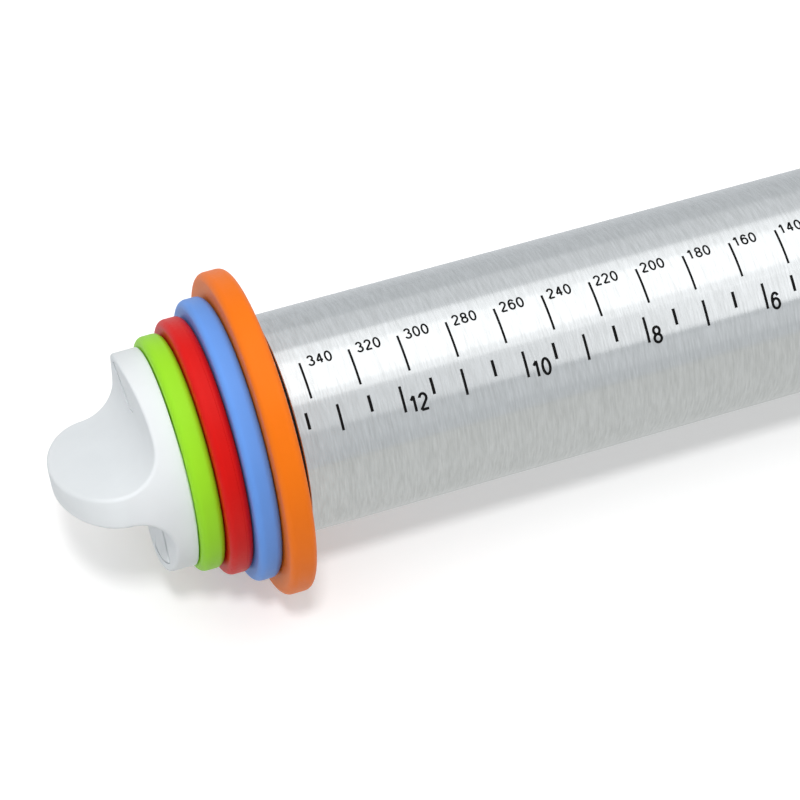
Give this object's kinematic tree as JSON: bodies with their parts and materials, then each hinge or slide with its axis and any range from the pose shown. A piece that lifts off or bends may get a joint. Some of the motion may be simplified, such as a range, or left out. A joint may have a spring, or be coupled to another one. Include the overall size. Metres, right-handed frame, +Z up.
{
  "type": "adjustable rolling pin",
  "caption": "Steel-tube rolling pin with stacked colour-coded thickness rings and a screw-on finned finger knob at each end, for rolling dough to a set depth.",
  "frame": {"origin": "middle of the tube, on its axis", "axes": "+X along the tube towards the right end, +Z up, +Y away from the viewer"},
  "size_m": [0.4412, 0.066, 0.066],
  "materials": {
    "steel": "brushed round the tube, satin",
    "orange_plastic": "satin moulded",
    "blue_plastic": "satin moulded",
    "red_plastic": "satin moulded",
    "green_plastic": "satin moulded",
    "white_plastic": "satin moulded",
    "bush_plastic": "plain moulded, black"
  },
  "bodies": {
    "roller": {"roller_tube": "steel", "left_end_bush": "bush_plastic", "right_end_bush": "bush_plastic"},
    "left_knob": {"left_knob_cap": "white_plastic", "left_knob_stem": "white_plastic"},
    "left_orange_ring": {"left_orange_ring": "orange_plastic"},
    "left_blue_ring": {"left_blue_ring": "blue_plastic"},
    "left_red_ring": {"left_red_ring": "red_plastic"},
    "left_green_ring": {"left_green_ring": "green_plastic"},
    "right_knob": {"right_knob_cap": "white_plastic", "right_knob_stem": "white_plastic"},
    "right_orange_ring": {"right_orange_ring": "orange_plastic"},
    "right_blue_ring": {"right_blue_ring": "blue_plastic"},
    "right_red_ring": {"right_red_ring": "red_plastic"},
    "right_green_ring": {"right_green_ring": "green_plastic"}
  },
  "joints": [
    {"name": "left_knob_turn", "type": "hinge", "parent": "left_green_ring", "child": "left_knob", "pos_m": [-0.1976, 0, 0], "axis": [-1, 0, 0], "range_deg": [0, 1440]},
    {"name": "left_orange_slide", "type": "slide", "parent": "roller", "child": "left_orange_ring", "axis": [-1, 0, 0], "range_m": [0, 0.004]},
    {"name": "left_blue_slide", "type": "slide", "parent": "roller", "child": "left_blue_ring", "axis": [-1, 0, 0], "range_m": [0, 0.008]},
    {"name": "left_red_slide", "type": "slide", "parent": "roller", "child": "left_red_ring", "axis": [-1, 0, 0], "range_m": [0, 0.012]},
    {"name": "left_green_slide", "type": "slide", "parent": "roller", "child": "left_green_ring", "axis": [-1, 0, 0], "range_m": [0, 0.016]},
    {"name": "right_knob_turn", "type": "hinge", "parent": "right_green_ring", "child": "right_knob", "pos_m": [0.1976, 0, 0], "axis": [1, 0, 0], "range_deg": [0, 1440]},
    {"name": "right_orange_slide", "type": "slide", "parent": "roller", "child": "right_orange_ring", "axis": [1, 0, 0], "range_m": [0, 0.004]},
    {"name": "right_blue_slide", "type": "slide", "parent": "roller", "child": "right_blue_ring", "axis": [1, 0, 0], "range_m": [0, 0.008]},
    {"name": "right_red_slide", "type": "slide", "parent": "roller", "child": "right_red_ring", "axis": [1, 0, 0], "range_m": [0, 0.012]},
    {"name": "right_green_slide", "type": "slide", "parent": "roller", "child": "right_green_ring", "axis": [1, 0, 0], "range_m": [0, 0.016]}
  ],
  "couplings": [
    {"joint": "left_orange_slide", "follows": "left_knob_turn", "m_per_rad": 0.00015915},
    {"joint": "left_blue_slide", "follows": "left_knob_turn", "m_per_rad": 0.0003183},
    {"joint": "left_red_slide", "follows": "left_knob_turn", "m_per_rad": 0.00047745},
    {"joint": "left_green_slide", "follows": "left_knob_turn", "m_per_rad": 0.0006366},
    {"joint": "right_orange_slide", "follows": "right_knob_turn", "m_per_rad": 0.00015915},
    {"joint": "right_blue_slide", "follows": "right_knob_turn", "m_per_rad": 0.0003183},
    {"joint": "right_red_slide", "follows": "right_knob_turn", "m_per_rad": 0.00047745},
    {"joint": "right_green_slide", "follows": "right_knob_turn", "m_per_rad": 0.0006366}
  ]
}
